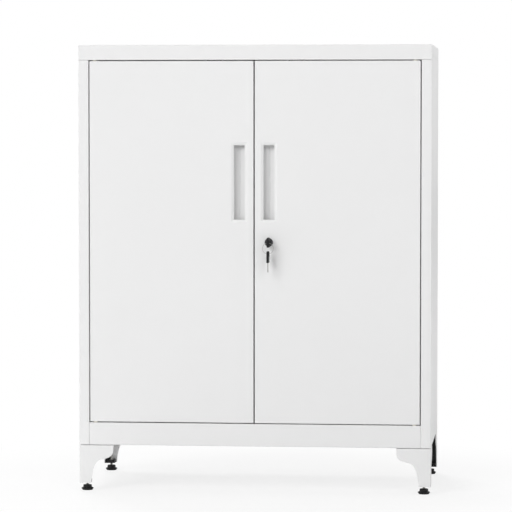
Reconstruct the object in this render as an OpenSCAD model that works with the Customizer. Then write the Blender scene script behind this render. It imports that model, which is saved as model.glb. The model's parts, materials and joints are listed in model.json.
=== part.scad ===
// White sheet-steel tool cabinet with two doors, four bracket legs and levelling feet.
// Millimetres, +Z up, origin on the floor in the middle of the four feet, front towards -Y.

/* [Body] */
// Width of the body
body_w = 800; // [700:10:1000]
// Depth of the body
body_d = 400; // [360:10:500]
// Height of the body without its legs
body_h = 908; // [880:4:1100]
// Thickness of the folded sheet
sheet = 0.8; // [0.7:0.1:0.9]
// Width of the front edge of each side panel
stile_w = 23; // [22:1:28]
// Height of the top panel's front lip
top_lip = 34; // [32:1:38]
// Height of the top panel's side and back lips
side_lip = 26; // [22:1:28]
// Height of the rail below the doors
rail_h = 51; // [44:1:60]

/* [Doors] */
// Gap round the outer edges of the doors
door_gap = 2.2; // [2:0.1:3]
// Gap between the two doors
meeting_gap = 2.8; // [2.6:0.1:4]
// Thickness of a door
door_t = 22; // [21:0.5:24]
// Distance of the hinge pin from the door's edge
hinge_inset = 12; // [11:0.5:14]
// Distance of the hinge pin behind the door's face
hinge_back = 5; // [4.9:0.1:5.5]

/* [Pulls and lock] */
// Distance of the pulls and the lock from the middle of the cabinet
pull_x = 33.5; // [33:0.5:36]
// Width of a pull's opening
pull_w = 24.5; // [22:0.5:26]
// Height of a pull's opening
pull_h = 168; // [140:2:180]
// Height of a pull's middle above the underside of the body
pull_z = 598; // [590:1:620]
// Width of the pressed border round a pull
pull_rim = 6; // [5:0.5:7]
// Height of the lock above the underside of the body
lock_z = 463; // [440:1:470]
// Radius of the crank pins on the lock's cam
crank_r = 11; // [11:0.5:12]

/* [Shelves] */
// Depth of the shelves from front to back
shelf_d = 340; // [300:5:345]
// Height of a shelf's folded edge
shelf_h = 25; // [20:1:30]
// Distance between two slots in the shelf uprights
slot_pitch = 50; // [40:5:60]
// Slot that holds the lower shelf
lower_slot = 5; // [3:1:6]
// Slot that holds the upper shelf
upper_slot = 10; // [8:1:12]

/* [Legs and feet] */
// Height of a leg
leg_h = 88; // [80:1:110]
// Width of a leg at its top
leg_w = 78; // [78:1:90]
// Width of a leg at its bottom
leg_toe = 27; // [26:1:30]
// Thickness of a leg's steel
leg_t = 1.5; // [1.2:0.1:1.6]
// Gap between the body and a leg's faces
leg_seam = 1.2; // [0.8:0.1:2]
// Height of a foot's base
foot_h = 12; // [11:0.5:14]
// Length of stud that shows between leg and foot
foot_gap = 5; // [4:0.5:9]
// Distance of a foot's axis from the leg's outer faces
foot_inset = 16; // [15:0.5:17]

/* [Hidden] */
$fn = 48;

hair = 0.3;                       // seam between two neighbouring panels
cut = 1;                          // how far a cutting solid runs past a surface
side = body_w / 2;
front = -body_d / 2;
back = body_d / 2;
z0 = leg_h + foot_gap + foot_h;   // underside of the body
leg_top = z0 - leg_seam;          // top of a leg's faces
zt = z0 + body_h;                 // top of the cabinet
floor_z = z0 + rail_h;            // top of the cabinet's floor
lip_z = zt - top_lip;             // lower edge of the front lip
jamb_x = side - stile_w;
jamb_d = 18;
hem = 10;
tongue_h = 14;                    // lap of the side panel under the top panel's lip
foot_return = 30;                 // bottom panel's flanges that the legs are screwed to
notch = 3.2;                      // side panel stands back from the end of the top panel's front lip
lip_return = 36;
bead_z = zt - top_lip;            // pressed line across the side panels
screw_r = 2;
hole_r = 2.1;

door_w = (body_w - 2 * stile_w - 2 * door_gap - meeting_gap) / 2;
door_h = body_h - top_lip - rail_h - 2 * door_gap;
door_z = floor_z + door_gap;
door_top = door_z + door_h;
door_back = front + door_t;
door_lip = 14;
free_x = meeting_gap / 2;         // free edge of the right door
hinge_x = jamb_x - door_gap - hinge_inset;
hinge_y = front + hinge_back;
pin_r = 3;
pin_head_r = 4.1;
bush_r = 4;
run = 0.05;                       // running clearance of a turning or sliding pair

pull_mid = z0 + pull_z;
pull_press = 3;                   // depth of the pressed border
pocket_w = pull_w + 19;
pocket_h = pull_h + 20;
pocket_side = front + 12;         // where the pocket's walls turn towards its middle
pocket_apex = front + 20.5;
pocket_flange = 8;

channel_in = pull_x - pocket_w / 2 - pocket_flange - 0.5;
channel_out = 74;
channel_foot = 12;

lock_mid = z0 + lock_z;
bezel_r = 9.5;
barrel_r = 8.4;
plug_r = 6;
tail_r = 3;
rod_r = 2.5;
rod_y = door_back + 4.5;
yoke_y = rod_y - 1;
cam_y = rod_y + 3;
cam_t = 2;
crank_pin_r = 1.8;
crank_reach = crank_r * sqrt(0.5);
yoke_in = crank_reach - crank_pin_r - 0.3 - 1.5;
yoke_out = crank_r + crank_pin_r + 0.3 + 1.5;
yoke_h = 10;
yoke_slot = 2 * crank_pin_r + 1;
rod_x = (yoke_in + yoke_out) / 2;
rod_tip = 1;                      // how far a drawn rod or bolt ends inside the door's edge
rod_slot = rod_r + 1.7;           // half the width of the slot that a rod slides into
bolt_w = 12;
bolt_t = 3;
bolt_l = 104;
guide_w = 20;
guide_h = 10;

bolt_gap = 0.3;                   // clearance of the bolts in their guides
key_t = 5;
key_w = 22;
key_l = 26;
blade_t = 2;
blade_w = 7.5;
blade_l = 21.5;
key_gap = 0.3;                    // clearance of the blade in the keyway
key_hole_r = 3.6;
key_hole_in = 7;
key_dish_r = 6.2;                 // dished ground round the hole
key_web = 2.4;                    // thickness left at the hole
key_y = front - 3.7;              // shoulder of the key against the lock
ring_r = 12.4;
wire_r = 0.7;
ring_drop = 0.6;                  // the ring's wire below the middle of the key's hole
key_hole_y = key_y - key_l + key_hole_in;
ring_mid = lock_mid - ring_drop - ring_r;
spare_hole = lock_mid - 2 * ring_drop - 2 * ring_r;

upright_w = 30;
upright_t = 15;
upright_y = 148;
upright_z = floor_z + 6;
upright_top = zt - side_lip - 24;
slot_first = 30;
slot_count = floor((upright_top - floor_z - slot_first - 10) / slot_pitch) + 1;
slot_w = 12;
slot_h = 3;
clip_w = 11;
clip_t = 2;
shelf_w = 2 * (side - sheet - upright_t - 3);
shelf_y = front + 46;
shelf_return = 14;

stud_r = 3;
stud_up = 20;                     // stud above the leg's bottom edge
nut_flat = 10;
nut_h = 5;
nut_z = 3;
insert_post = 13;
insert_floor = 8;
leg_z = foot_gap + foot_h;

back_y = back - sheet;            // outer face of the back panel
bead_x = 133;
bead_w = 14;
bead_d = 3;
anchor_x = 300;
anchor_z = zt - 90;
anchor_r = 3.25;
rear_screw_z = [z0 + 30, z0 + 240, z0 + 450, z0 + 660, z0 + 860];
rear_screw_x = [-360, -120, 120, 360];
leg_screw_at = [[15, 40], [40, 15], [15, 64]];

// A block between two corners
module block(low, high) {
    translate(low) cube(high - low);
}

// A round bar along Z, and one along Y
module bar_z(x, y, low, high, r) {
    translate([x, y, low]) cylinder(h = high - low, r = r);
}

module bar_y(x, z, low, high, r) {
    translate([x, low, z]) rotate([-90, 0, 0]) cylinder(h = high - low, r = r);
}

module right() {
    mirror([1, 0, 0]) children();
}

// Body panels

module side_panel() {
    difference() {
        union() {
            block([-side, front, z0], [-side + sheet, back, lip_z - hair]);
            block([-side, front + notch, lip_z - cut], [-side + sheet, back, zt - side_lip - hair]);
            block([-side + sheet, front + notch, zt - side_lip - tongue_h], [-side + 2 * sheet, back - 2, zt - 1]);
            block([-side, front, z0], [-jamb_x, front + sheet, lip_z - hair]);
            block([-jamb_x - sheet, front, z0], [-jamb_x, front + jamb_d, lip_z - hair]);
            block([-jamb_x - hem, front + jamb_d - sheet, z0], [-jamb_x, front + jamb_d, lip_z - hair]);
            block([-side, back - sheet, z0], [-side + 20, back, zt - side_lip - hair]);
            block([-side, front, z0], [-jamb_x, back, z0 + sheet]);
        }
        block([-side - cut, front + 4, bead_z - 0.6], [-side + 0.3, back - 4, bead_z + 0.6]);
        for (z = rear_screw_z) bar_y(-side + 10, z, back - 2, back + cut, hole_r);
        leg_screw_holes();
        right() leg_screw_holes();
    }
}

module left_side_panel() {
    color("white") side_panel();
}

module right_side_panel() {
    color("white") right() side_panel();
}

module leg_screw_holes() {
    for (my = [0, 1], at = leg_screw_at) mirror([0, my, 0])
        bar_z(-side + at[0], front + at[1], z0 - 5, z0 + 5, hole_r);
}

module hinge_holes(low, high) {
    for (x = [-hinge_x, hinge_x]) bar_z(x, hinge_y, low, high, pin_r + 0.1);
}

// Slots that the bolts and the lock rods slide into
module bolt_holes(low, high, rod_at) {
    block([-pull_x - bolt_w / 2 - 1, door_back + 0.2, low], [-pull_x + bolt_w / 2 + 1, door_back + bolt_t + 2.8, high]);
    block([rod_at - rod_slot, rod_y - rod_slot, low], [rod_at + rod_slot, rod_y + rod_slot, high]);
}

module top_panel() {
    color("white") difference() {
        union() {
            block([-side, front, zt - sheet], [side, back, zt]);
            block([-side, front, lip_z], [side, front + sheet, zt]);
            block([-side, back - sheet, zt - side_lip], [side, back, zt]);
            for (x = [-side, side - sheet]) {
                block([x, front, zt - side_lip], [x + sheet, back, zt]);
                block([x, front, lip_z], [x + sheet, front + notch - 0.2, zt]);
            }
            block([-side, front, lip_z], [side, front + notch - 0.2, lip_z + sheet]);
            block([-side + 1.8, front, lip_z], [side - 1.8, front + lip_return, lip_z + sheet]);
            block([-side + 1.8, front + lip_return - sheet, lip_z], [side - 1.8, front + lip_return, lip_z + hem]);
        }
        hinge_holes(lip_z - cut, lip_z + 2);
        bolt_holes(lip_z - cut, lip_z + 2, pull_x - rod_x);
        for (x = rear_screw_x) bar_y(x, zt - 14, back - 2, back + cut, hole_r);
    }
}

module bottom_panel() {
    inner = side - sheet - 0.2;
    rear = back_y - sheet;
    color("white") difference() {
        union() {
            block([-inner, front + jamb_d + 0.4, floor_z - sheet], [inner, rear, floor_z]);
            block([-jamb_x + hair, front, floor_z - sheet], [jamb_x - hair, front + 40, floor_z]);
            block([-jamb_x + hair, front, z0], [jamb_x - hair, front + sheet, floor_z]);
            block([-jamb_x + hair, front, z0], [jamb_x - hair, front + foot_return, z0 + sheet]);
            block([-inner, rear - sheet, z0 + sheet + hair], [inner, rear, floor_z]);
            block([-jamb_x + hair, rear - foot_return, z0 + sheet + hair], [jamb_x - hair, rear, z0 + 2 * sheet + hair]);
            for (x = [-inner, inner - sheet])
                block([x, front + jamb_d + 0.4, floor_z - 20], [x + sheet, rear, floor_z]);
        }
        hinge_holes(floor_z - 2, floor_z + cut);
        bolt_holes(floor_z - 2, floor_z + cut, pull_x + rod_x);
        for (x = concat([-side + 10, side - 10], rear_screw_x)) bar_y(x, z0 + 30, rear - 2, rear + cut, hole_r);
        for (x = [-bead_x, bead_x])
            block([x - bead_w / 2 - hair, rear - bead_d - hair, z0 - cut], [x + bead_w / 2 + hair, rear + cut, floor_z + cut]);
        leg_screw_holes();
        right() leg_screw_holes();
    }
}

// Flat sheet with two pressed beads that stand into the cabinet
module back_panel() {
    half = side - sheet - 0.2;
    y = back_y;
    bead = function (x, d, s) [[x - s * bead_w / 2, y - d], [x - s * (bead_w / 2 - 4), y - d - bead_d],
                               [x + s * (bead_w / 2 - 4), y - d - bead_d], [x + s * bead_w / 2, y - d]];
    color("white") difference() {
        translate([0, 0, z0 + 2]) linear_extrude(height = zt - 3 - z0 - 2)
            polygon(concat([[-half, y]], bead(-bead_x, 0, 1), bead(bead_x, 0, 1), [[half, y]],
                           [[half, y - sheet]], bead(bead_x, sheet, -1), bead(-bead_x, sheet, -1), [[-half, y - sheet]]));
        for (x = [-anchor_x, anchor_x]) bar_y(x, anchor_z, y - 3, y + cut, anchor_r);
        for (x = [-side + 10, side - 10], z = rear_screw_z) bar_y(x, z, y - 3, y + cut, hole_r);
        for (x = rear_screw_x, z = [zt - 14, z0 + 30]) bar_y(x, z, y - 6, y + cut, hole_r);
    }
}

// Shelves

module upright(y) {
    x = -side + sheet + upright_t;
    color("white") difference() {
        block([-side + sheet, y - upright_w / 2, upright_z], [x, y + upright_w / 2, upright_top]);
        block([-side, y - upright_w / 2 + sheet, upright_z - cut], [x - sheet, y + upright_w / 2 - sheet, upright_top + cut]);
        for (k = [0:slot_count - 1])
            block([x - 3, y - slot_w / 2, floor_z + slot_first + k * slot_pitch],
                  [x + cut, y + slot_w / 2, floor_z + slot_first + k * slot_pitch + slot_h]);
    }
}

module left_front_upright() upright(-upright_y);
module left_rear_upright() upright(upright_y);
module right_front_upright() right() upright(-upright_y);
module right_rear_upright() right() upright(upright_y);

function shelf_z(slot) = floor_z + slot_first + slot * slot_pitch + 0.5 + clip_t;

module shelf_clips(slot) {
    x = -side + sheet + upright_t;
    top = shelf_z(slot);
    color("silver") for (mx = [0, 1], my = [-1, 1]) mirror([mx, 0, 0]) translate([0, my * upright_y, 0]) {
        block([x - 4, -clip_w / 2, top - clip_t], [x + 15, clip_w / 2, top]);
        block([x - 4, -clip_w / 2, top - 9], [x - 2.4, clip_w / 2, top]);
        block([x, -clip_w / 2, top - 14], [x + 1.6, clip_w / 2, top]);
    }
}

module lower_shelf_clips() shelf_clips(lower_slot);
module upper_shelf_clips() shelf_clips(upper_slot);

module shelf(slot) {
    z = shelf_z(slot) + hair;
    color("white") difference() {
        block([-shelf_w / 2, shelf_y, z], [shelf_w / 2, shelf_y + shelf_d, z + shelf_h]);
        block([-shelf_w / 2 + sheet, shelf_y + sheet, z + sheet],
              [shelf_w / 2 - sheet, shelf_y + shelf_d - sheet, z + shelf_h - sheet]);
        block([-shelf_w / 2 + shelf_return, shelf_y + shelf_return, z - cut],
              [shelf_w / 2 - shelf_return, shelf_y + shelf_d - shelf_return, z + 2]);
    }
}

module lower_shelf() shelf(lower_slot);
module upper_shelf() shelf(upper_slot);

// Legs and feet, drawn at the front left corner and mirrored to the others

module at_corner(mx, my) {
    mirror([mx, 0, 0]) mirror([0, my, 0]) children();
}

function bezier(a, b, c, d, t) =
    pow(1 - t, 3) * a + 3 * pow(1 - t, 2) * t * b + 3 * (1 - t) * t * t * c + t * t * t * d;

// Outline of a leg's face: narrow toe, sweeping curve, broad top
module leg_outline() {
    steps = 9;
    knee = [leg_toe + 23, leg_h * 0.614];
    shoulder = [leg_w, leg_h * 0.84];
    lower = [for (i = [0:steps]) bezier([leg_toe, 0], [leg_toe + 2, leg_h * 0.25], [leg_toe + 6, leg_h * 0.59], knee, i / steps)];
    upper = [for (i = [1:steps]) bezier(knee, [leg_toe + 35, leg_h * 0.642], [leg_w - 1, leg_h * 0.68], shoulder, i / steps)];
    polygon(concat([[0, 0]], lower, upper, [[leg_w, leg_h], [0, leg_h]]));
}

// Stands an outline up: in the front face, or in the side face
module front_face(t) {
    translate([-side, front + t, leg_z]) rotate([90, 0, 0]) linear_extrude(height = t) children();
}

module side_face(t) {
    translate([-side, front, leg_z]) rotate([90, 0, 90]) linear_extrude(height = t) children();
}

// Angle with a top plate; a spacer on the plate meets the body and leaves the seam round it
module leg(mx, my) {
    spacer_back = 5;
    color("white") at_corner(mx, my) difference() {
        union() {
            difference() {
                union() {
                    front_face(leg_t) leg_outline();
                    side_face(leg_t) leg_outline();
                }
                block([-side - cut, front - cut, leg_top], [-side + leg_w + cut, front + leg_w + cut, z0 + cut]);
            }
            block([-side, front, leg_top - leg_t], [-side + leg_w, front + leg_w, leg_top]);
            block([-side + spacer_back, front + spacer_back, leg_top - leg_t],
                  [-side + leg_w - spacer_back, front + leg_w - spacer_back, z0]);
        }
        for (at = leg_screw_at) bar_z(-side + at[0], front + at[1], z0 - 5, z0 + 5, hole_r);
    }
}

module front_left_leg() leg(0, 0);
module front_right_leg() leg(1, 0);
module rear_left_leg() leg(0, 1);
module rear_right_leg() leg(1, 1);

// Moulded corner post with a foot that holds the levelling nut
module leg_insert(mx, my) {
    inner = leg_t + 0.1;
    pad = leg_toe - 2;
    foot = [-side + foot_inset, front + foot_inset];
    low = leg_z + 0.4;
    color("black") at_corner(mx, my) difference() {
        union() {
            block([-side + inner, front + inner, low], [-side + insert_post, front + insert_post, leg_top - leg_t]);
            block([-side + inner, front + inner, low], [-side + pad, front + pad, leg_z + insert_floor]);
        }
        bar_z(foot[0], foot[1], leg_z - cut, leg_z + insert_floor + cut, stud_r + 0.3);
        translate([foot[0], foot[1], leg_z + nut_z])
            cylinder(h = leg_h, r = (nut_flat / 2 + 0.1) / cos(30), $fn = 6);
    }
}

module front_left_leg_insert() leg_insert(0, 0);
module front_right_leg_insert() leg_insert(1, 0);
module rear_left_leg_insert() leg_insert(0, 1);
module rear_right_leg_insert() leg_insert(1, 1);

module leg_nuts() {
    color("silver") for (mx = [0, 1], my = [0, 1]) at_corner(mx, my)
        translate([-side + foot_inset, front + foot_inset, leg_z + nut_z]) difference() {
            cylinder(h = nut_h, r = nut_flat / 2 / cos(30), $fn = 6);
            translate([0, 0, -cut]) cylinder(h = nut_h + 2 * cut, r = stud_r + run);
        }
}

module foot_stud(mx, my) {
    color("silver") at_corner(mx, my)
        bar_z(-side + foot_inset, front + foot_inset, foot_h, leg_z + stud_up, stud_r);
}

module front_left_foot_stud() foot_stud(0, 0);
module front_right_foot_stud() foot_stud(1, 0);
module rear_left_foot_stud() foot_stud(0, 1);
module rear_right_foot_stud() foot_stud(1, 1);

// Hub, flared skirt and flat pad
module foot_base(mx, my) {
    color("black") at_corner(mx, my) translate([-side + foot_inset, front + foot_inset, 0])
        rotate_extrude() polygon([[0, 0], [11.5, 0], [12.5, 2.5], [14, 3.2], [14, 4.6], [10.6, 6.6],
                                  [9.8, 7.4], [9.8, foot_h - 0.8], [9, foot_h], [0, foot_h]]);
}

module front_left_foot_base() foot_base(0, 0);
module front_right_foot_base() foot_base(1, 0);
module rear_left_foot_base() foot_base(0, 1);
module rear_right_foot_base() foot_base(1, 1);

// Fasteners

module screw(head_r, head_h, length) {
    cylinder(h = head_h, r1 = head_r, r2 = head_r * 0.72);
    translate([0, 0, -length]) cylinder(h = length, r = screw_r);
}

module leg_screws() {
    color("silver") for (mx = [0, 1], my = [0, 1], at = leg_screw_at) at_corner(mx, my)
        translate([-side + at[0], front + at[1], leg_top - leg_t]) rotate([180, 0, 0]) screw(4.2, 2.4, 8);
}

module panel_screws() {
    color("silver") {
        for (x = [-side + 10, side - 10], z = rear_screw_z)
            translate([x, back, z]) rotate([-90, 0, 0]) screw(4, 2, 7);
        for (x = rear_screw_x) translate([x, back, zt - 14]) rotate([-90, 0, 0]) screw(4, 2, 7);
        for (x = rear_screw_x) translate([x, back_y, z0 + 30]) rotate([-90, 0, 0]) screw(4, 2, 7);
    }
}

module hinge_pins() {
    color("silver") for (x = [-hinge_x, hinge_x]) {
        bar_z(x, hinge_y, door_top - 8, lip_z + sheet, pin_r);
        bar_z(x, hinge_y, lip_z + sheet, lip_z + sheet + 1.6, pin_head_r);
        bar_z(x, hinge_y, floor_z - sheet, door_z + 8, pin_r);
        bar_z(x, hinge_y, floor_z - sheet - 1.6, floor_z - sheet, pin_head_r);
    }
}

module magnetic_catches() {
    color("dimgray") for (mx = [0, 1]) mirror([mx, 0, 0]) {
        block([76, door_back + 1.7, lip_z - 14], [110, door_back + 13, lip_z]);
        block([82, door_back + 1.4, lip_z - 12], [104, door_back + 1.7, lip_z - 4]);
    }
}

// Doors, drawn for the right side; the left door is the mirror image of it

// Pressed border of a pull: its slope starts at the depth given and ends at the opening
module pull_slope(depth) {
    w = pull_w / 2;
    h = pull_h / 2;
    thin = 0.01;
    hull() {
        block([pull_x - w - pull_rim, front + depth - thin, pull_mid - h - pull_rim],
              [pull_x + w + pull_rim, front + depth, pull_mid + h + pull_rim]);
        block([pull_x - w, front + depth + pull_press, pull_mid - h],
              [pull_x + w, front + depth + pull_press + thin, pull_mid + h]);
    }
}

module pull_opening() {
    block([pull_x - pull_w / 2, front - cut, pull_mid - pull_h / 2],
          [pull_x + pull_w / 2, front + pull_press + 2, pull_mid + pull_h / 2]);
}

module door_skin(with_lock) {
    far = free_x + door_w;
    difference() {
        union() {
            difference() {
                block([free_x, front, door_z], [far, door_back, door_top]);
                block([free_x + sheet, front + sheet, door_z + sheet], [far - sheet, door_back - sheet, door_top - sheet]);
                block([free_x + door_lip, door_back - 2, door_z + door_lip], [far - door_lip, door_back + cut, door_top - door_lip]);
            }
            pull_slope(sheet);
        }
        pull_slope(0);
        pull_opening();
        for (z = [[door_z - cut, door_z + 2], [door_top - 2, door_top + cut]])
            bar_z(hinge_x, hinge_y, z[0], z[1], bush_r + 0.05);
        if (with_lock) bar_y(pull_x, lock_mid, front - cut, front + 2, barrel_r + 0.1);
    }
}

module left_door_skin() {
    color("white") right() door_skin(false);
}

module right_door_skin() {
    color("white") door_skin(true);
}

// Folded channel that makes a box along the door's free edge
module door_channel(with_lock) {
    low = door_z + 2;
    high = door_top - 2;
    difference() {
        union() {
            block([channel_in, door_back, low], [channel_out, door_back + sheet, high]);
            block([channel_out - sheet, front + sheet, low + 12], [channel_out, door_back + sheet, high - 12]);
            block([channel_out - sheet, front + sheet, low + 12], [channel_out + channel_foot, front + 2 * sheet, high - 12]);
        }
        if (with_lock) bar_y(pull_x, lock_mid, door_back - cut, door_back + 2, barrel_r + 0.6);
    }
}

module left_door_channel() {
    color("white") right() door_channel(false);
}

module right_door_channel() {
    color("white") door_channel(true);
}

// Folded pocket behind the opening, wider than it so that fingers can hook in
module pull_pocket() {
    w = pocket_w / 2;
    top = front + sheet;
    profile = [[-w - pocket_flange, top], [-w, top], [-w, pocket_side], [0, pocket_apex - sheet], [w, pocket_side], [w, top],
               [w + pocket_flange, top], [w + pocket_flange, top + sheet], [w + sheet, top + sheet],
               [w + sheet, pocket_side + 0.6], [0, pocket_apex], [-w - sheet, pocket_side + 0.6],
               [-w - sheet, top + sheet], [-w - pocket_flange, top + sheet]];
    plug = [[-w, top], [w, top], [w, pocket_side], [0, pocket_apex - sheet], [-w, pocket_side]];
    color("gainsboro") translate([pull_x, 0, pull_mid]) {
        translate([0, 0, -pocket_h / 2]) linear_extrude(height = pocket_h) polygon(profile);
        for (z = [-pocket_h / 2, pocket_h / 2 - sheet]) translate([0, 0, z]) linear_extrude(height = sheet) polygon(plug);
    }
}

module left_pull_pocket() right() pull_pocket();
module right_pull_pocket() pull_pocket();

module hinge_bushes() {
    color("ivory") difference() {
        union() {
            bar_z(hinge_x, hinge_y, door_z, door_z + 7, bush_r);
            bar_z(hinge_x, hinge_y, floor_z + hair, door_z, bush_r + 0.8);
            bar_z(hinge_x, hinge_y, door_top - 7, door_top, bush_r);
            bar_z(hinge_x, hinge_y, door_top, door_top + 1.4, bush_r + 0.8);
        }
        bar_z(hinge_x, hinge_y, floor_z - cut, door_z + 9, pin_r + run);
        bar_z(hinge_x, hinge_y, door_top - 9, lip_z + cut, pin_r + run);
    }
}

module left_hinge_bushes() right() hinge_bushes();
module right_hinge_bushes() hinge_bushes();

module strike_plate() {
    color("silver") block([78, door_back, door_top - 13], [108, door_back + 1, door_top - 1.5]);
}

module left_strike_plate() right() strike_plate();
module right_strike_plate() strike_plate();

// Sliding bolts of the left door

module bolt_guide(z) {
    x = -pull_x;
    y = door_back + sheet;
    difference() {
        block([x - guide_w / 2, y, z - guide_h / 2], [x + guide_w / 2, y + bolt_t + 2, z + guide_h / 2]);
        block([x - bolt_w / 2 - bolt_gap, y - cut, z - guide_h],
              [x + bolt_w / 2 + bolt_gap, y + bolt_t + 2 * bolt_gap, z + guide_h]);
    }
}

module left_bolt_guides() {
    color("silver") for (z = [door_top - 12, door_top - 74, door_z + 12, door_z + 74]) bolt_guide(z);
}

module left_upper_bolt() {
    y = door_back + sheet + bolt_gap;
    color("silver") {
        block([-pull_x - bolt_w / 2, y, door_top - rod_tip - bolt_l], [-pull_x + bolt_w / 2, y + bolt_t, door_top - rod_tip]);
        block([-pull_x - bolt_w / 2, y, door_top - rod_tip - bolt_l], [-pull_x + bolt_w / 2, y + 14, door_top - rod_tip - bolt_l + 3]);
    }
}

module left_lower_bolt() {
    translate([0, 0, door_top + door_z]) mirror([0, 0, 1]) left_upper_bolt();
}

// Lock of the right door

module lock_barrel() {
    color("dimgray") difference() {
        union() {
            translate([pull_x, front, lock_mid]) rotate([90, 0, 0])
                rotate_extrude() polygon([[0, 0], [bezel_r, 0], [bezel_r, 1.4], [bezel_r - 1.2, 2.8], [plug_r + 0.8, 3.2], [0, 3.2]]);
            bar_y(pull_x, lock_mid, front - 0.01, door_back + 1, barrel_r);
        }
        bar_y(pull_x, lock_mid, front - 4, door_back + 2, plug_r + run);
    }
}

module lock_nut() {
    color("silver") translate([pull_x, front + sheet, lock_mid]) rotate([-90, 0, 0]) difference() {
        cylinder(h = 4, r = 12.5, $fn = 6);
        translate([0, 0, -cut]) cylinder(h = 6, r = barrel_r + 0.1);
    }
}

// The keyway is open at the front and closed before the plug's tail
module lock_plug() {
    color("gray") difference() {
        union() {
            bar_y(pull_x, lock_mid, front - 3.4, door_back + 1.4, plug_r);
            bar_y(pull_x, lock_mid, door_back + 1.3, cam_y + cam_t, tail_r);
        }
        block([pull_x - blade_t / 2 - key_gap, front - 5, lock_mid - blade_w / 2 - key_gap],
              [pull_x + blade_t / 2 + key_gap, key_y + blade_l + 1, lock_mid + blade_w / 2 + key_gap]);
    }
}

// Cam with two crank pins: the left one lifts the upper rod, the right one lowers the lower rod
module lock_cam() {
    color("silver") translate([pull_x, 0, lock_mid]) {
        difference() {
            translate([0, cam_y + cam_t, 0]) rotate([90, -45, 0]) linear_extrude(height = cam_t) union() {
                circle(r = 7.5);
                square([2 * crank_r, 8], center = true);
                for (x = [-crank_r, crank_r]) translate([x, 0]) circle(r = 4);
            }
            bar_y(0, 0, cam_y - cut, cam_y + cam_t + cut, tail_r + run);
        }
        for (s = [-1, 1]) bar_y(s * crank_reach, s * crank_reach, yoke_y - 0.6, cam_y + 0.1, crank_pin_r);
    }
}

module cam_screw() {
    color("silver") translate([pull_x, cam_y + cam_t, lock_mid]) rotate([-90, 0, 0]) cylinder(h = 2.2, r1 = 5, r2 = 3.8);
}

// Rod with a slotted yoke; s is -1 for the upper rod on the left, 1 for the lower rod on the right
module lock_rod(s) {
    yoke_z = lock_mid + s * crank_reach;
    tip = s < 0 ? door_top - rod_tip : door_z + rod_tip;
    x = pull_x + s * rod_x;
    color("silver") difference() {
        union() {
            block([min(pull_x + s * yoke_in, pull_x + s * yoke_out), yoke_y, yoke_z - yoke_h / 2],
                  [max(pull_x + s * yoke_in, pull_x + s * yoke_out), yoke_y + 2, yoke_z + yoke_h / 2]);
            bar_z(x, rod_y, min(tip, yoke_z - s * yoke_slot / 2), max(tip, yoke_z - s * yoke_slot / 2), rod_r);
        }
        block([min(pull_x + s * (yoke_in + 1.5), pull_x + s * (yoke_out - 1.5)), yoke_y - 5, yoke_z - yoke_slot / 2],
              [max(pull_x + s * (yoke_in + 1.5), pull_x + s * (yoke_out - 1.5)), yoke_y + 6, yoke_z + yoke_slot / 2]);
    }
}

module upper_lock_rod() lock_rod(-1);
module lower_lock_rod() lock_rod(1);

module rod_guide(x, z) {
    difference() {
        block([x - 8, door_back + sheet, z - guide_h / 2], [x + 8, rod_y + rod_r + 1.6, z + guide_h / 2]);
        bar_z(x, rod_y, z - guide_h, z + guide_h, rod_r + run);
    }
}

module rod_guides() {
    color("silver") {
        for (z = [door_top - 12, lock_mid + 150]) rod_guide(pull_x - rod_x, z);
        for (z = [door_z + 12, lock_mid - 150]) rod_guide(pull_x + rod_x, z);
    }
}

// Keys: bow in the Y-Z plane, with the origin at the shoulder and the blade towards -Z

module key_bow_shape() {
    corner = 7;
    color("black") rotate([90, 0, 90]) difference() {
        translate([0, 0, -key_t / 2]) linear_extrude(height = key_t) union() {
            translate([-key_w / 2, 0]) square([key_w, key_l - corner]);
            translate([-key_w / 2 + corner, 0]) square([key_w - 2 * corner, key_l]);
            for (y = [-1, 1]) translate([y * (key_w / 2 - corner), key_l - corner]) circle(r = corner);
        }
        translate([0, key_l - key_hole_in, -key_t]) cylinder(h = 2 * key_t, r = key_hole_r);
        for (z = [-key_t, key_web / 2]) translate([0, key_l - key_hole_in, z])
            cylinder(h = key_t - key_web / 2, r = key_dish_r);
    }
}

module key_blade_shape() {
    bits = [[7, 2.2], [10.5, 1.4], [14, 2.6], [17.5, 1.2]];
    color("silver") difference() {
        block([-blade_t / 2, -blade_w / 2, -blade_l], [blade_t / 2, blade_w / 2, 0]);
        for (b = bits) translate([-blade_t, blade_w / 2, -b[0]]) rotate([45, 0, 0])
            cube([2 * blade_t, b[1], b[1]], center = false);
    }
}

module in_lock() {
    translate([pull_x, key_y, lock_mid]) rotate([90, 0, 0]) children();
}

module on_ring() {
    translate([pull_x, key_hole_y, spare_hole - key_l + key_hole_in]) children();
}

module key_bow() in_lock() key_bow_shape();
module key_blade() in_lock() key_blade_shape();
module spare_key_bow() on_ring() key_bow_shape();
module spare_key_blade() on_ring() key_blade_shape();

module key_ring() {
    color("silver") translate([pull_x, key_hole_y, ring_mid]) rotate([90, 0, 0])
        rotate_extrude() translate([ring_r, 0]) circle(r = wire_r);
}

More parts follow.
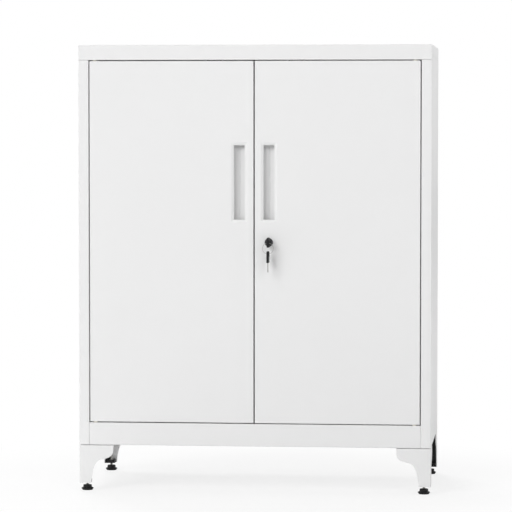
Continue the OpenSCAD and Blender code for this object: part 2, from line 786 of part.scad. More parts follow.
left_side_panel();
right_side_panel();
top_panel();
bottom_panel();
back_panel();
left_front_upright();
left_rear_upright();
right_front_upright();
right_rear_upright();
lower_shelf();
upper_shelf();
lower_shelf_clips();
upper_shelf_clips();
front_left_leg();
front_right_leg();
rear_left_leg();
rear_right_leg();
front_left_leg_insert();
front_right_leg_insert();
rear_left_leg_insert();
rear_right_leg_insert();
leg_nuts();
leg_screws();
panel_screws();
hinge_pins();
magnetic_catches();
front_left_foot_stud();
front_right_foot_stud();
rear_left_foot_stud();
rear_right_foot_stud();
front_left_foot_base();
front_right_foot_base();
rear_left_foot_base();
rear_right_foot_base();
left_door_skin();
left_door_channel();
left_pull_pocket();
left_hinge_bushes();
left_strike_plate();
left_bolt_guides();
left_upper_bolt();
left_lower_bolt();
right_door_skin();
right_door_channel();
right_pull_pocket();
right_hinge_bushes();
right_strike_plate();
rod_guides();
lock_barrel();
lock_nut();
lock_plug();
lock_cam();
cam_screw();
upper_lock_rod();
lower_lock_rod();
key_bow();
key_blade();
key_ring();
spare_key_bow();
spare_key_blade();
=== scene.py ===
# %% [markdown]
# A white steel tool cabinet with two doors.
# The frame holds every solid of the cabinet at its true size, in metres, with the doors towards -Y.
# This lesson dresses those solids: sheet steel gets its rounded folds, small hardware gets its real
# shape, and everything gets a finish made of shader nodes.

# %% Load the frame
import json
import math

import bmesh
import bpy
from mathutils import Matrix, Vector


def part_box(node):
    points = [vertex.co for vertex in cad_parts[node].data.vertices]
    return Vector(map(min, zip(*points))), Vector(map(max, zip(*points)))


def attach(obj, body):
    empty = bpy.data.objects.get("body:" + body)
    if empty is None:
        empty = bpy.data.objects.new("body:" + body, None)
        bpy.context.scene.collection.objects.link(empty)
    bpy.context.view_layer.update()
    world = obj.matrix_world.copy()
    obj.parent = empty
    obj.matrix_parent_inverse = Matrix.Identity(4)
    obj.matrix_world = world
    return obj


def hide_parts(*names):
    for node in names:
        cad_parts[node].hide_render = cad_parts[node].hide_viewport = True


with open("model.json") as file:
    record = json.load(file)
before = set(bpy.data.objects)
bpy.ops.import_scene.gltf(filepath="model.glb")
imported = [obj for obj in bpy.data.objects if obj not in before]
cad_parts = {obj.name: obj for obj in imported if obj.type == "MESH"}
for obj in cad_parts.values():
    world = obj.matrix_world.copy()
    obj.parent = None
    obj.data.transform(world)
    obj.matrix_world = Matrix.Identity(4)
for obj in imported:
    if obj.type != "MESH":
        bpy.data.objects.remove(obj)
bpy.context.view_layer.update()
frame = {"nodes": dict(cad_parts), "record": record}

MM = 0.001
NODES = frame["nodes"]
BODY_OF = {node: body for body, names in frame["record"]["behaviour"]["bodies"].items() for node in names}
SLOT_OF = {part["node"]: part["material_slot"] for part in frame["record"]["subparts"]}

# %% [markdown]
# Shader maths reads best as plain arithmetic. A Wire wraps one output socket, and each operator adds
# the Math node it stands for. A Bench makes every other node: it takes the node's type, its settings
# and what goes into its sockets. The same two classes serve Geometry Nodes, which share those nodes.

# %% A wire and a bench
class Wire:
    def __init__(self, bench, socket):
        self.bench = bench
        self.socket = socket

    def __getitem__(self, name):
        """Another output of the node that this wire comes from."""
        return Wire(self.bench, self.socket.node.outputs[name])

    def maths(self, operation, *values):
        return self.bench.add("ShaderNodeMath", {"operation": operation}, dict(enumerate(values)))

    def __add__(self, other):
        return self.maths("ADD", self, other)

    def __radd__(self, other):
        return self.maths("ADD", other, self)

    def __sub__(self, other):
        return self.maths("SUBTRACT", self, other)

    def __rsub__(self, other):
        return self.maths("SUBTRACT", other, self)

    def __mul__(self, other):
        return self.maths("MULTIPLY", self, other)

    def __rmul__(self, other):
        return self.maths("MULTIPLY", other, self)

    def __truediv__(self, other):
        return self.maths("DIVIDE", self, other)

    def __rtruediv__(self, other):
        return self.maths("DIVIDE", other, self)

    def __pow__(self, other):
        return self.maths("POWER", self, other)


class Bench:
    def __init__(self, tree):
        self.tree = tree

    def add(self, kind, settings=None, sockets=None, out=0):
        node = self.tree.nodes.new(kind)
        for name, value in (settings or {}).items():
            setattr(node, name, value)
        for name, value in (sockets or {}).items():
            if isinstance(value, (Wire, list)):
                for wire in [value] if isinstance(value, Wire) else value:
                    self.tree.links.new(wire.socket, node.inputs[name])
            else:
                node.inputs[name].default_value = value
        return Wire(self, node.outputs[out]) if len(node.outputs) else None

    def mix_colours(self, factor, first, second):
        return self.add("ShaderNodeMix", {"data_type": "RGBA"}, {0: factor, 6: first, 7: second}, out=2)


print("wires and bench ready")

# %% [markdown]
# A finish is a Principled shader. What changes over the surface goes into its colour, roughness and
# bump; what is the same everywhere is typed into its sockets. Every pattern is measured in metres on
# Object coordinates, so grain keeps its real size on every piece.

# %% Start a finish
def start_finish(name):
    finish = bpy.data.materials.new(name)
    finish.use_nodes = True
    tree = finish.node_tree
    tree.nodes.clear()
    bench = Bench(tree)
    place = bench.add("ShaderNodeTexCoord", out="Object")
    return finish, bench, place


def end_finish(bench, colour, roughness, height, depth, strength, **fixed):
    bump = bench.add("ShaderNodeBump", None, {"Strength": strength, "Distance": depth, "Height": height})
    sockets = {"Base Color": colour, "Roughness": roughness, "Normal": bump}
    sockets.update(fixed)
    shader = bench.add("ShaderNodeBsdfPrincipled", None, sockets)
    bench.add("ShaderNodeOutputMaterial", None, {"Surface": shader})


def noise(bench, place, scale, detail=2.0, roughness=0.5):
    return bench.add("ShaderNodeTexNoise", None,
                     {"Vector": place, "Scale": scale, "Detail": detail, "Roughness": roughness})


def stretched(bench, place, scale):
    return bench.add("ShaderNodeMapping", None, {"Vector": place, "Scale": scale})


print("finish helpers ready")

# %% [markdown]
# Powder coat is baked polyester: nearly white, half matt, and never quite smooth. Close up it has a
# fine skin like orange peel, about a millimetre from crest to crest. From further off the thin sheet
# shows slow waves. Both are noise, one small and one large, added into one bump.

# %% White powder coat
def powder_coat(name, white, roughness):
    finish, bench, place = start_finish(name)
    peel = noise(bench, place, 850.0, 2.0)
    wave = noise(bench, place, 7.0, 1.0)
    dust = noise(bench, place, 26.0, 5.0, 0.65)
    cloud = noise(bench, place, 3.0, 2.0)
    shade = tuple(channel * 0.965 for channel in white[:3]) + (1.0,)
    colour = bench.mix_colours(cloud * 0.5 + dust * 0.3, white, shade)
    rough = roughness - 0.05 + dust * 0.1
    height = peel * 0.12 + wave * 0.9
    end_finish(bench, colour, rough, height, 0.0004, 0.35, **{"IOR": 1.48})
    return finish


WHITE = (0.868, 0.868, 0.868, 1.0)
white_coat = powder_coat("white_powder_coat", WHITE, 0.42)
print("coat:", white_coat.name)

# %% [markdown]
# The feet, the leg inserts, the catches and the key bows are black moulded nylon, and the hinge
# bushes are natural nylon. The mould gives a fine matt grain, and handling rubs some of it smoother,
# so the roughness wanders.

# %% Moulded nylon
def moulded_nylon(name, tone, roughness, grain):
    finish, bench, place = start_finish(name)
    spark = noise(bench, place, grain, 3.0, 0.6)
    rub = noise(bench, place, 60.0, 3.0)
    light = tuple(min(1.0, channel * 1.5 + 0.004) for channel in tone[:3]) + (1.0,)
    colour = bench.mix_colours(spark * 0.6, tone, light)
    rough = roughness - 0.08 + rub * 0.16
    end_finish(bench, colour, rough, spark, 0.00012, 0.5, **{"Specular IOR Level": 0.25})
    return finish


black_nylon = moulded_nylon("black_nylon", (0.011, 0.011, 0.0115, 1.0), 0.48, 2600.0)
natural_nylon = moulded_nylon("natural_nylon", (0.72, 0.68, 0.58, 1.0), 0.38, 1800.0)
print("nylons:", black_nylon.name, natural_nylon.name)

# %% [markdown]
# Zinc plating is dull silver with crystals of slightly different brightness, which a Voronoi texture
# draws. Long thin noise adds the drawing marks of rod and strip.

# %% Plated steels
def plated_steel(name, tone, roughness, crystal, streak):
    finish, bench, place = start_finish(name)
    cells = bench.add("ShaderNodeTexVoronoi", None, {"Vector": place, "Scale": crystal}, out="Color")
    cell = bench.add("ShaderNodeSeparateColor", None, {"Color": cells})
    marks = noise(bench, stretched(bench, place, (1.0, 1.0, 0.06)), streak, 3.0)
    stain = noise(bench, place, 40.0, 4.0, 0.6)
    dark = tuple(channel * 0.72 for channel in tone[:3]) + (1.0,)
    colour = bench.mix_colours(cell * 0.35 + stain * 0.4, tone, dark)
    rough = roughness - 0.08 + cell * 0.08 + stain * 0.12
    end_finish(bench, colour, rough, marks, 0.00006, 0.4, **{"Metallic": 1.0})
    return finish


zinc_plate = plated_steel("zinc_plate", (0.62, 0.61, 0.58, 1.0), 0.36, 420.0, 2200.0)
nickel_plate = plated_steel("nickel_plate", (0.50, 0.49, 0.475, 1.0), 0.28, 900.0, 3000.0)
print("platings:", zinc_plate.name, nickel_plate.name)

# %% [markdown]
# The lock's face is die-cast, turned and plated dark. Turning leaves rings round its axis. The rings
# are a sine of the distance from that axis, so the coordinates are first moved to the lock's centre.

# %% Dark turned metal
LOCK_LOW, LOCK_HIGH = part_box("lock_barrel")
LOCK_X = (LOCK_LOW.x + LOCK_HIGH.x) / 2
LOCK_Z = (LOCK_LOW.z + LOCK_HIGH.z) / 2


def turned_metal(name, tone, roughness, pitch):
    finish, bench, place = start_finish(name)
    split = bench.add("ShaderNodeSeparateXYZ", None, {"Vector": place})
    x = split["X"] - LOCK_X
    z = split["Z"] - LOCK_Z
    reach = (x * x + z * z) ** 0.5
    rings = reach.maths("SINE", reach * (2 * math.pi / pitch))
    stain = noise(bench, place, 180.0, 4.0, 0.6)
    dark = tuple(channel * 0.6 for channel in tone[:3]) + (1.0,)
    colour = bench.mix_colours(stain, tone, dark)
    end_finish(bench, colour, roughness - 0.06 + stain * 0.14, rings * 0.5 + 0.5, 0.00003, 0.5,
               **{"Metallic": 1.0})
    return finish


lock_plating = turned_metal("dark_lock_plating", (0.10, 0.10, 0.105, 1.0), 0.38, 0.0005)
FINISHES = {"white_paint": white_coat, "black_plastic": black_nylon, "ivory_plastic": natural_nylon,
            "zinc_steel": zinc_plate, "lock_metal": lock_plating, "key_steel": nickel_plate}
for name, solid in NODES.items():
    solid.data.materials.clear()
    solid.data.materials.append(FINISHES[SLOT_OF[name]])
print("finishes:", sorted(FINISHES))

# %% [markdown]
# A folded sheet isn't sharp: outside, its corner has a radius of about two thicknesses, and inside
# about one. The frame's solids are sharp, so each sheet piece is remade from a copy of its solid.
# The copy's vertices are merged, its flat triangles are joined, and the fold edges are found by a
# simple rule: both faces beside a fold are wide, while beside a cut edge one is as narrow as the
# sheet. Only fold edges get a bevel weight, and a Bevel modifier rounds them.

# %% Joined copy of a solid
FLAT = math.radians(0.4)
SHARP = math.radians(35)


def joined_copy(node):
    bm = bmesh.new()
    bm.from_mesh(NODES[node].data)
    bmesh.ops.remove_doubles(bm, verts=bm.verts, dist=2e-6)
    bmesh.ops.dissolve_limit(bm, angle_limit=FLAT, use_dissolve_boundaries=False,
                             verts=bm.verts, edges=bm.edges)
    return bm


def face_reach(face, edge):
    """How far a face runs away from the middle of one of its edges before it meets a real edge."""
    loop = next(loop for loop in face.loops if loop.edge == edge)
    start = loop.vert.co
    along = (loop.link_loop_next.vert.co - start).normalized()
    inward = face.normal.cross(along)
    middle = (edge.verts[0].co + edge.verts[1].co) / 2
    near = 10.0
    for other in face.edges:
        if other == edge or abs(other.calc_face_angle(0.0)) < math.radians(1):
            continue
        ends = [vert.co - middle for vert in other.verts]
        spots = [(off.dot(along), off.dot(inward)) for off in ends]
        (x0, y0), (x1, y1) = spots
        if (x0 > 0) == (x1 > 0):
            continue
        hit = y0 + (y1 - y0) * x0 / (x0 - x1)
        if hit > 1e-7:
            near = min(near, hit)
    return near


def finish_piece(bm, name):
    mesh = bpy.data.meshes.new(name)
    bm.to_mesh(mesh)
    bm.free()
    piece = bpy.data.objects.new(name, mesh)
    bpy.context.scene.collection.objects.link(piece)
    return piece


def bake_modifiers(piece):
    bpy.context.view_layer.update()
    graph = bpy.context.evaluated_depsgraph_get()
    baked = bpy.data.meshes.new_from_object(piece.evaluated_get(graph), depsgraph=graph)
    piece.modifiers.clear()
    piece.data = baked
    return piece


def hand_over(piece, nodes):
    """Give a finished piece the finish of its solids' material slot, attach it to their body, and hide the
    solids it stands for.
    """
    nodes = [nodes] if isinstance(nodes, str) else list(nodes)
    piece.data.materials.clear()
    piece.data.materials.append(FINISHES[SLOT_OF[nodes[0]]])
    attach(piece, BODY_OF[nodes[0]])
    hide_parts(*nodes)
    return piece


def round_edges(piece, width, segments):
    """Bevel the weighted edges. Wide faces decide the normals, so they stay flat up to the bevel."""
    bevel = piece.modifiers.new("edges", "BEVEL")
    bevel.limit_method = "WEIGHT"
    bevel.width = width
    bevel.segments = segments
    bevel.use_clamp_overlap = False
    for polygon in piece.data.polygons:
        polygon.use_smooth = True
    piece.data.set_sharp_from_angle(angle=SHARP)
    normals = piece.modifiers.new("normals", "WEIGHTED_NORMAL")
    normals.weight = 100
    normals.keep_sharp = True
    bake_modifiers(piece)


print("copy helpers ready")

# %% Fold edges of a sheet
LEAST_FOLD = math.radians(14)


def fold_edges(bm, sheet, wide):
    """Outer and inner edges of the folds: wide faces beside them, and a partner one thickness away."""
    outer, inner = [], []
    for edge in bm.edges:
        if len(edge.link_faces) != 2 or edge.calc_length() < wide:
            continue
        turn = edge.calc_face_angle_signed()
        if abs(turn) < LEAST_FOLD:
            continue
        if min(face_reach(face, edge) for face in edge.link_faces) >= wide:
            (outer if turn > 0 else inner).append(edge)
    kept = set()
    for first in outer:
        base = first.verts[0].co
        along = (first.verts[1].co - base).normalized()
        for second in inner:
            way = (second.verts[1].co - second.verts[0].co).normalized()
            off = (second.verts[0].co + second.verts[1].co) / 2 - base
            if along.cross(way).length > 1e-3 or not -wide < off.dot(along) < first.calc_length() + wide:
                continue
            gap = (off - along * off.dot(along)).length
            if 0.9 * sheet < gap < 1.6 * sheet:
                kept.update((first, second))
    return [e for e in outer if e in kept], [e for e in inner if e in kept]


# %% Rounded folds
def folded(node, radius, sheet, segments=3, wide=2.2 * MM):
    bm = joined_copy(node)
    weight = bm.edges.layers.float.new("bevel_weight_edge")
    outer, inner = fold_edges(bm, sheet, wide)
    for edge in outer:
        edge[weight] = 1.0
    for edge in inner:
        edge[weight] = (radius - sheet) / radius
    piece = finish_piece(bm, node + "_folded")
    round_edges(piece, radius, segments)
    hand_over(piece, node)
    print(f"{node}: {len(outer)} outer and {len(inner)} inner folds, {len(piece.data.polygons)} faces")
    return piece


SHEET = 0.8 * MM
for node in ("left_side_panel", "right_side_panel", "top_panel", "bottom_panel",
             "left_front_upright", "left_rear_upright", "right_front_upright", "right_rear_upright",
             "lower_shelf", "upper_shelf", "left_door_channel", "right_door_channel"):
    folded(node, 1.4 * MM, SHEET)

# %% [markdown]
# The doors are folded the same way with a slightly larger radius, and the pulls and the back with a
# smaller one.

# %% Doors, pulls and back
for node in ("left_door_skin", "right_door_skin"):
    folded(node, 1.5 * MM, SHEET, segments=4)
for node in ("left_pull_pocket", "right_pull_pocket"):
    folded(node, 1.0 * MM, SHEET)
folded("back_panel", 1.2 * MM, SHEET)

# %% [markdown]
# The legs are bent from thicker steel, so their corner is rounder.

# %% Legs
LEG_STEEL = 1.5 * MM
for side in ("left", "right"):
    for end in ("front", "rear"):
        folded(f"{end}_{side}_leg", 2.4 * MM, LEG_STEEL, segments=4, wide=3 * MM)

# %% [markdown]
# Small hardware is stamped or moulded. Its edges are only eased: every edge of a merged copy that
# turns sharply gets a narrow bevel.

# %% Eased hardware
LEAST_EDGE = math.radians(32)


def eased(node, width):
    bm = joined_copy(node)
    weight = bm.edges.layers.float.new("bevel_weight_edge")
    for edge in bm.edges:
        if len(edge.link_faces) == 2 and abs(edge.calc_face_angle_signed()) > LEAST_EDGE:
            edge[weight] = 1.0
    piece = finish_piece(bm, node + "_eased")
    round_edges(piece, width, 2)
    hand_over(piece, node)
    print(f"{node}: {len(piece.data.polygons)} faces")
    return piece


EASED_WIDTHS = {
    "lower_shelf_clips": 0.3, "upper_shelf_clips": 0.3, "leg_nuts": 0.3, "magnetic_catches": 0.12,
    "left_strike_plate": 0.2, "right_strike_plate": 0.2, "left_bolt_guides": 0.2,
    "left_upper_bolt": 0.3, "left_lower_bolt": 0.3, "rod_guides": 0.3, "lock_nut": 0.3,
    "lock_cam": 0.2, "key_bow": 0.7, "spare_key_bow": 0.7, "key_blade": 0.15,
    "spare_key_blade": 0.15, "lock_plug": 0.15, "lock_barrel": 0.4, "hinge_pins": 0.3,
    "left_hinge_bushes": 0.2, "right_hinge_bushes": 0.2, "cam_screw": 0.25,
    "upper_lock_rod": 0.3, "lower_lock_rod": 0.3}
for node, width in EASED_WIDTHS.items():
    eased(node, width * MM)
for side in ("left", "right"):
    for end in ("front", "rear"):
        eased(f"{end}_{side}_leg_insert", 0.3 * MM)

# %% [markdown]
# Screws, studs and the ring repeat a small form or follow a path, so trees of geometry nodes draw
# them. Every tree starts from a mesh and has named inputs for its sizes. At its end the instances
# are made real and get their finish, and the result becomes a plain mesh.

# %% Trees of geometry nodes
def start_tree(name, **inputs):
    tree = bpy.data.node_groups.new(name, "GeometryNodeTree")
    tree.interface.new_socket("Geometry", in_out="INPUT", socket_type="NodeSocketGeometry")
    tree.interface.new_socket("Geometry", in_out="OUTPUT", socket_type="NodeSocketGeometry")
    for label, value in inputs.items():
        kind = "NodeSocketInt" if isinstance(value, int) else "NodeSocketFloat"
        tree.interface.new_socket(label, in_out="INPUT", socket_type=kind).default_value = value
    bench = Bench(tree)
    return bench, bench.add("NodeGroupInput")


def end_tree(bench, shape, finish):
    real = bench.add("GeometryNodeRealizeInstances", None, {"Geometry": shape})
    dressed = bench.add("GeometryNodeSetMaterial", None, {"Geometry": real, "Material": finish})
    bench.add("NodeGroupOutput", None, {"Geometry": dressed})


def grow(bench, nodes, spots, **values):
    """Run a tree on some points and hand the plain mesh over in place of the named solids."""
    nodes = [nodes] if isinstance(nodes, str) else list(nodes)
    mesh = bpy.data.meshes.new(nodes[0] + "_grown")
    mesh.from_pydata([tuple(spot) for spot in spots], [], [])
    piece = bpy.data.objects.new(nodes[0] + "_grown", mesh)
    modifier = piece.modifiers.new("tree", "NODES")
    modifier.node_group = bench.tree
    for item in bench.tree.interface.items_tree:
        if item.in_out == "INPUT" and item.name in values:
            modifier[item.identifier] = values[item.name]
    bpy.context.scene.collection.objects.link(piece)
    bake_modifiers(piece)
    hand_over(piece, nodes)
    print(f"{nodes[0]}: {len(piece.data.polygons)} faces from {len(spots)} points")
    return piece


def islands(node):
    """Low and high corner of every separate solid inside one node."""
    bm = joined_copy(node)
    left = set(bm.verts)
    boxes = []
    while left:
        pile = [left.pop()]
        group = []
        while pile:
            vert = pile.pop()
            group.append(vert.co.copy())
            for edge in vert.link_edges:
                other = edge.other_vert(vert)
                if other in left:
                    left.remove(other)
                    pile.append(other)
        boxes.append((Vector(map(min, zip(*group))), Vector(map(max, zip(*group)))))
    bm.free()
    return sorted(boxes, key=lambda box: tuple(box[0]))


print("tree helpers ready; leg screws found:", len(islands("leg_screws")))

# %% [markdown]
# The screws are pan heads with a cross recess. A flat cylinder's top is extruded and scaled three
# times to draw the dome, and two crossed bars are cut out of it. One head is made and instanced on
# every point. Each head stops at its own angle, so a random turn with a fixed seed sets it.

# %% Pan head screws
HEAD_RISE = ((0.0, 0.30), (0.94, 0.30), (0.82, 0.24), (0.60, 0.16))


def screw_tree(name, turn):
    bench, ports = start_tree(name, Radius=4.0 * MM, Height=2.0 * MM, Shank=2.0 * MM, Length=7.0 * MM)
    radius, height = ports["Radius"], ports["Height"]
    base = height * HEAD_RISE[0][1]
    shape = bench.add("GeometryNodeMeshCylinder", {"fill_type": "NGON"},
                      {"Vertices": 28, "Radius": radius, "Depth": base})
    top = shape["Top"]
    for share, rise in HEAD_RISE[1:]:
        shape = bench.add("GeometryNodeExtrudeMesh", {"mode": "FACES"},
                          {"Mesh": shape, "Selection": top, "Offset Scale": height * rise,
                           "Individual": False})
        top = shape["Top"]
        shape = bench.add("GeometryNodeScaleElements", None,
                          {"Geometry": shape, "Selection": top, "Scale": share})
    lift = bench.add("ShaderNodeCombineXYZ", None, {"Z": base * 0.5})
    head = bench.add("GeometryNodeTransform", None, {"Geometry": shape, "Translation": lift})
    bars = []
    for long, short in ((1.15, 0.24), (0.24, 1.15)):
        size = bench.add("ShaderNodeCombineXYZ", None, {"X": radius * long, "Y": radius * short, "Z": height})
        bar = bench.add("GeometryNodeMeshCube", None, {"Size": size})
        up = bench.add("ShaderNodeCombineXYZ", None, {"Z": height * 0.92})
        bars.append(bench.add("GeometryNodeTransform", None, {"Geometry": bar, "Translation": up}))
    cut = bench.add("GeometryNodeMeshBoolean", {"operation": "DIFFERENCE"}, {"Mesh 1": head, "Mesh 2": bars})
    shank = bench.add("GeometryNodeMeshCylinder", {"fill_type": "NGON"},
                      {"Vertices": 16, "Radius": ports["Shank"], "Depth": ports["Length"]})
    down = bench.add("ShaderNodeCombineXYZ", None, {"Z": ports["Length"] * -0.5 + 0.2 * MM})
    shank = bench.add("GeometryNodeTransform", None, {"Geometry": shank, "Translation": down})
    screw = bench.add("GeometryNodeJoinGeometry", None, {"Geometry": [cut, shank]})
    placed = bench.add("GeometryNodeInstanceOnPoints", None,
                       {"Points": ports, "Instance": screw, "Rotation": turn})
    chance = bench.add("FunctionNodeRandomValue", {"data_type": "FLOAT"},
                       {2: 0.0, 3: math.pi / 2, "Seed": 7}, out=1)
    spin = bench.add("ShaderNodeCombineXYZ", None, {"Z": chance})
    placed = bench.add("GeometryNodeRotateInstances", None, {"Instances": placed, "Rotation": spin})
    end_tree(bench, placed, zinc_plate)
    return bench


leg_screw = screw_tree("leg_screw_tree", (math.pi, 0, 0))
under_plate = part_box("front_left_leg_insert")[1].z
seats = [((low.x + high.x) / 2, (low.y + high.y) / 2, under_plate) for low, high in islands("leg_screws")]
grow(leg_screw, "leg_screws", seats, Radius=4.2 * MM, Height=2.4 * MM, Length=7.8 * MM)

back_screw = screw_tree("panel_screw_tree", (-math.pi / 2, 0, 0))
seats = [((low.x + high.x) / 2, high.y - 2.0 * MM, (low.z + high.z) / 2)
         for low, high in islands("panel_screws")]
grow(back_screw, "panel_screws", seats, Radius=4.0 * MM, Height=2.0 * MM, Length=6.8 * MM)

# %% [markdown]
# Each foot has a threaded stud. The thread is a ridge that climbs a thin core: a spiral curve
# swept with a small round profile, one turn per millimetre.

# %% Threaded studs
def stud_tree():
    bench, ports = start_tree("stud_tree", Length=25.0 * MM, Core=2.45 * MM, Ridge=0.42 * MM, Pitch=1.0 * MM)
    core = bench.add("GeometryNodeMeshCylinder", {"fill_type": "NGON"},
                     {"Vertices": 24, "Radius": ports["Core"], "Depth": ports["Length"]})
    climb = ports["Length"] - ports["Ridge"] * 4
    path = bench.add("GeometryNodeCurveSpiral", None,
                     {"Resolution": 20, "Rotations": climb / ports["Pitch"], "Start Radius": ports["Core"],
                      "End Radius": ports["Core"], "Height": climb})
    profile = bench.add("GeometryNodeCurvePrimitiveCircle", {"mode": "RADIUS"},
                        {"Resolution": 6, "Radius": ports["Ridge"]})
    ridge = bench.add("GeometryNodeCurveToMesh", None,
                      {"Curve": path, "Profile Curve": profile, "Fill Caps": True})
    drop = bench.add("ShaderNodeCombineXYZ", None, {"Z": climb * -0.5})
    ridge = bench.add("GeometryNodeTransform", None, {"Geometry": ridge, "Translation": drop})
    stud = bench.add("GeometryNodeJoinGeometry", None, {"Geometry": [core, ridge]})
    placed = bench.add("GeometryNodeInstanceOnPoints", None, {"Points": ports, "Instance": stud})
    smooth = bench.add("GeometryNodeSetShadeSmooth", None, {"Geometry": placed})
    end_tree(bench, smooth, zinc_plate)
    return bench


threaded_stud = stud_tree()
for side in ("left", "right"):
    for end in ("front", "rear"):
        node = f"{end}_{side}_foot_stud"
        low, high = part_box(node)
        grow(threaded_stud, node, [(low + high) / 2], Length=high.z - low.z)

# %% [markdown]
# The key ring is spring steel wound almost twice round, so that keys can be worked onto it. A low
# spiral is swept with a round profile and stood up in the plane of the solid ring.

# %% Split ring
def ring_tree():
    bench, ports = start_tree("split_ring_tree", Radius=12.4 * MM, Wire=0.34 * MM, Turns=1.9)
    path = bench.add("GeometryNodeCurveSpiral", None,
                     {"Resolution": 48, "Rotations": ports["Turns"], "Start Radius": ports["Radius"],
                      "End Radius": ports["Radius"], "Height": ports["Wire"] * ports["Turns"]})
    profile = bench.add("GeometryNodeCurvePrimitiveCircle", {"mode": "RADIUS"},
                        {"Resolution": 10, "Radius": ports["Wire"]})
    wire = bench.add("GeometryNodeCurveToMesh", None,
                     {"Curve": path, "Profile Curve": profile, "Fill Caps": True})
    drop = bench.add("ShaderNodeCombineXYZ", None, {"Z": ports["Wire"] * ports["Turns"] * -0.5})
    wire = bench.add("GeometryNodeTransform", None, {"Geometry": wire, "Translation": drop})
    placed = bench.add("GeometryNodeInstanceOnPoints", None,
                       {"Points": ports, "Instance": wire, "Rotation": (math.pi / 2, 0.6, 0)})
    smooth = bench.add("GeometryNodeSetShadeSmooth", None, {"Geometry": placed})
    end_tree(bench, smooth, nickel_plate)
    return bench


RING_LOW, RING_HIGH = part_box("key_ring")
grow(ring_tree(), "key_ring", [(RING_LOW + RING_HIGH) / 2])

# %% [markdown]
# The foot bases are lathed: a short outline of radius and height, in millimetres, is swung round its
# axis. The outline starts and ends on the axis, so the shape is closed.

# %% Lathed pieces
def lathed(node, outline, centre, steps=64):
    """Swing (radius, height) points round the upright axis through the centre."""
    bm = bmesh.new()
    rings = []
    for radius, height in outline:
        count = steps if radius > 0 else 1
        ring = []
        for step in range(count):
            angle = 2 * math.pi * step / steps
            around = Vector((math.cos(angle), math.sin(angle), 0)) * radius
            ring.append(bm.verts.new(centre + Vector((around.x, around.y, height))))
        rings.append(ring)
    for lower, upper in zip(rings, rings[1:]):
        for step in range(steps):
            corners = [lower[step % len(lower)], lower[(step + 1) % len(lower)],
                       upper[(step + 1) % len(upper)], upper[step % len(upper)]]
            corners = list(dict.fromkeys(corners))
            if len(corners) > 2:
                bm.faces.new(corners)
    bmesh.ops.recalc_face_normals(bm, faces=bm.faces)
    piece = finish_piece(bm, node + "_lathed")
    for polygon in piece.data.polygons:
        polygon.use_smooth = True
    piece.data.set_sharp_from_angle(angle=math.radians(30))
    return piece


def rounded(corners, radius, steps=4):
    """Soften every inner corner of an outline with a short arc."""
    soft = [corners[0]]
    for before, corner, after in zip(corners, corners[1:], corners[2:]):
        here, back, ahead = Vector(corner), Vector(before), Vector(after)
        reach = min(radius, (back - here).length / 2, (ahead - here).length / 2)
        first = here + (back - here).normalized() * reach
        last = here + (ahead - here).normalized() * reach
        for step in range(steps + 1):
            t = step / steps
            soft.append(tuple(first * (1 - t) ** 2 + here * 2 * t * (1 - t) + last * t ** 2))
    return soft + [corners[-1]]


FOOT = [(0, 0), (11.6, 0), (12.6, 2.4), (13.95, 3.2), (13.95, 4.5), (10.7, 6.4), (9.75, 7.5), (9.75, 11.2),
        (9.0, 11.98), (3.4, 11.98), (3.2, 11.5), (0, 11.5)]
for side in ("left", "right"):
    for end in ("front", "rear"):
        node = f"{end}_{side}_foot_base"
        low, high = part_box(node)
        spot = Vector(((low.x + high.x) / 2, (low.y + high.y) / 2, low.z))
        outline = rounded([(r * MM, h * MM) for r, h in FOOT], 0.5 * MM)
        piece = lathed(node, outline, spot)
        hand_over(piece, node)
        print(f"{node}: {len(piece.data.polygons)} faces")

# %% [markdown]
# The floor is white and there are no walls. The world is white to the camera and to gloss,
# and gives a softer light to matt surfaces. The floor is lifted towards white for the camera only, so
# it keeps a light shadow and melts into the background further out.

# %% Floor and world
FLOOR_HALF = 30.0
LIFT_FROM = 0.30
LIFT_FULL = 0.95
LIFT_NEAR = 0.78


def white_floor():
    mesh = bpy.data.meshes.new("studio_floor")
    size = FLOOR_HALF
    mesh.from_pydata([(-size, -size, 0), (size, -size, 0), (size, size, 0), (-size, size, 0)], [],
                     [(0, 1, 2, 3)])
    floor = bpy.data.objects.new("studio_floor", mesh)
    bpy.context.scene.collection.objects.link(floor)
    material = bpy.data.materials.new("white_floor")
    material.use_nodes = True
    material.node_tree.nodes.clear()
    bench = Bench(material.node_tree)
    place = bench.add("ShaderNodeTexCoord", out="Object")
    reach = bench.add("ShaderNodeVectorMath", {"operation": "LENGTH"}, {0: place}, out="Value")
    far = bench.add("ShaderNodeMapRange", {"interpolation_type": "SMOOTHSTEP"},
                    {"Value": reach, "From Min": LIFT_FROM, "From Max": LIFT_FULL,
                     "To Min": LIFT_NEAR, "To Max": 1.0})
    seen = bench.add("ShaderNodeLightPath", out="Is Camera Ray")
    matt = bench.add("ShaderNodeBsdfDiffuse", None, {"Color": (0.96, 0.96, 0.96, 1.0)})
    glow = bench.add("ShaderNodeEmission", None, {"Color": (1, 1, 1, 1), "Strength": 1.0})
    mixed = bench.add("ShaderNodeMixShader", None, {0: far * seen, 1: matt, 2: glow})
    bench.add("ShaderNodeOutputMaterial", None, {"Surface": mixed})
    mesh.materials.append(material)


def white_world(ambient):
    world = bpy.data.worlds.new("studio")
    bpy.context.scene.world = world
    world.use_nodes = True
    world.node_tree.nodes.clear()
    bench = Bench(world.node_tree)
    path = bench.add("ShaderNodeLightPath")
    direct = path["Is Camera Ray"]
    mirrored = direct.maths("MAXIMUM", direct, path["Is Glossy Ray"])
    plain = mirrored.maths("MAXIMUM", mirrored, path["Is Transmission Ray"])
    strength = ambient + plain * (1.0 - ambient)
    back = bench.add("ShaderNodeBackground", None, {"Color": (1, 1, 1, 1), "Strength": strength})
    bench.add("ShaderNodeOutputWorld", None, {"Surface": back})


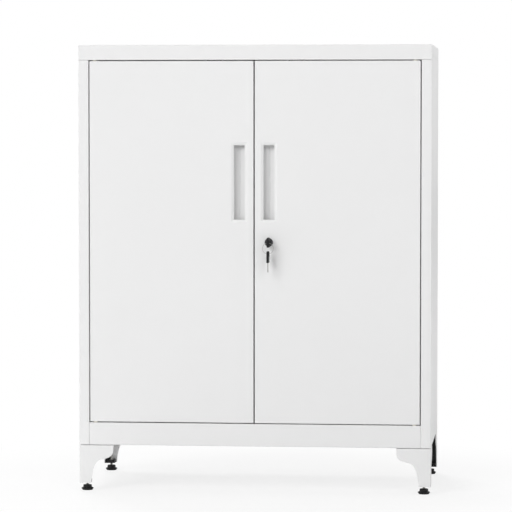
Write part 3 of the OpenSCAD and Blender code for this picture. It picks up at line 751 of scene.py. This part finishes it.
white_floor()
white_world(0.21)
print("floor and world ready")

# %% [markdown]
# The shadow of the lock and the pulls' short dark tops show a large soft lamp in front, about 33
# degrees to the left and 29 degrees up. It stands far off, so the doors get nearly the same light
# from top to bottom. A weaker one on the right opens the shadows, one beside the cabinet lights its
# side, and one high behind it lights the back and the left side, which the photograph doesn't show.
# Gloss mirrors the white world and not the lamps, or the top would burn out from low behind.

# %% Lamps
def soft_lamp(name, spot, aim, width, power):
    lamp = bpy.data.lights.new(name, "AREA")
    lamp.shape = "SQUARE"
    lamp.size = width
    lamp.energy = power
    holder = bpy.data.objects.new(name, lamp)
    holder.location = spot
    holder.rotation_euler = (Vector(aim) - Vector(spot)).to_track_quat("-Z", "Y").to_euler()
    holder.visible_glossy = False
    bpy.context.scene.collection.objects.link(holder)


DOORS_MIDDLE = (0, -0.2, 0.5)
soft_lamp("key_lamp", (-6.7, -10.5, 7.3), DOORS_MIDDLE, 8.0, 1080.0)
soft_lamp("right_lamp", (7.0, -10.2, 7.3), DOORS_MIDDLE, 5.0, 290.0)
soft_lamp("side_lamp", (7.0, 0.3, 1.6), (0.4, 0, 0.6), 2.5, 95.0)
soft_lamp("back_lamp", (-2.5, 6.0, 8.0), (0, 0.2, 0.5), 4.0, 420.0)
print("lamps ready")

# %% [markdown]
# The photograph's lines meet far to the right, so its camera stood about 0.64 m right of the middle.
# At 6.4 m in front of the doors and 0.86 m above the floor, a long lens gives its picture.

# %% Camera
EYE = Vector((0.6442, -6.643, 0.8566))
AIM = Vector((0.0044, -0.200, 0.5371))
camera_data = bpy.data.cameras.new("photo_camera")
camera_data.sensor_width = 36.0
camera_data.lens = 201.9
camera_data.clip_end = 100.0
camera = bpy.data.objects.new("photo_camera", camera_data)
camera.location = EYE
camera.rotation_euler = (AIM - EYE).to_track_quat("-Z", "Y").to_euler()
bpy.context.scene.collection.objects.link(camera)
bpy.context.scene.camera = camera
bpy.context.scene.view_settings.view_transform = "Standard"
print("camera at", [round(v, 3) for v in camera.location])
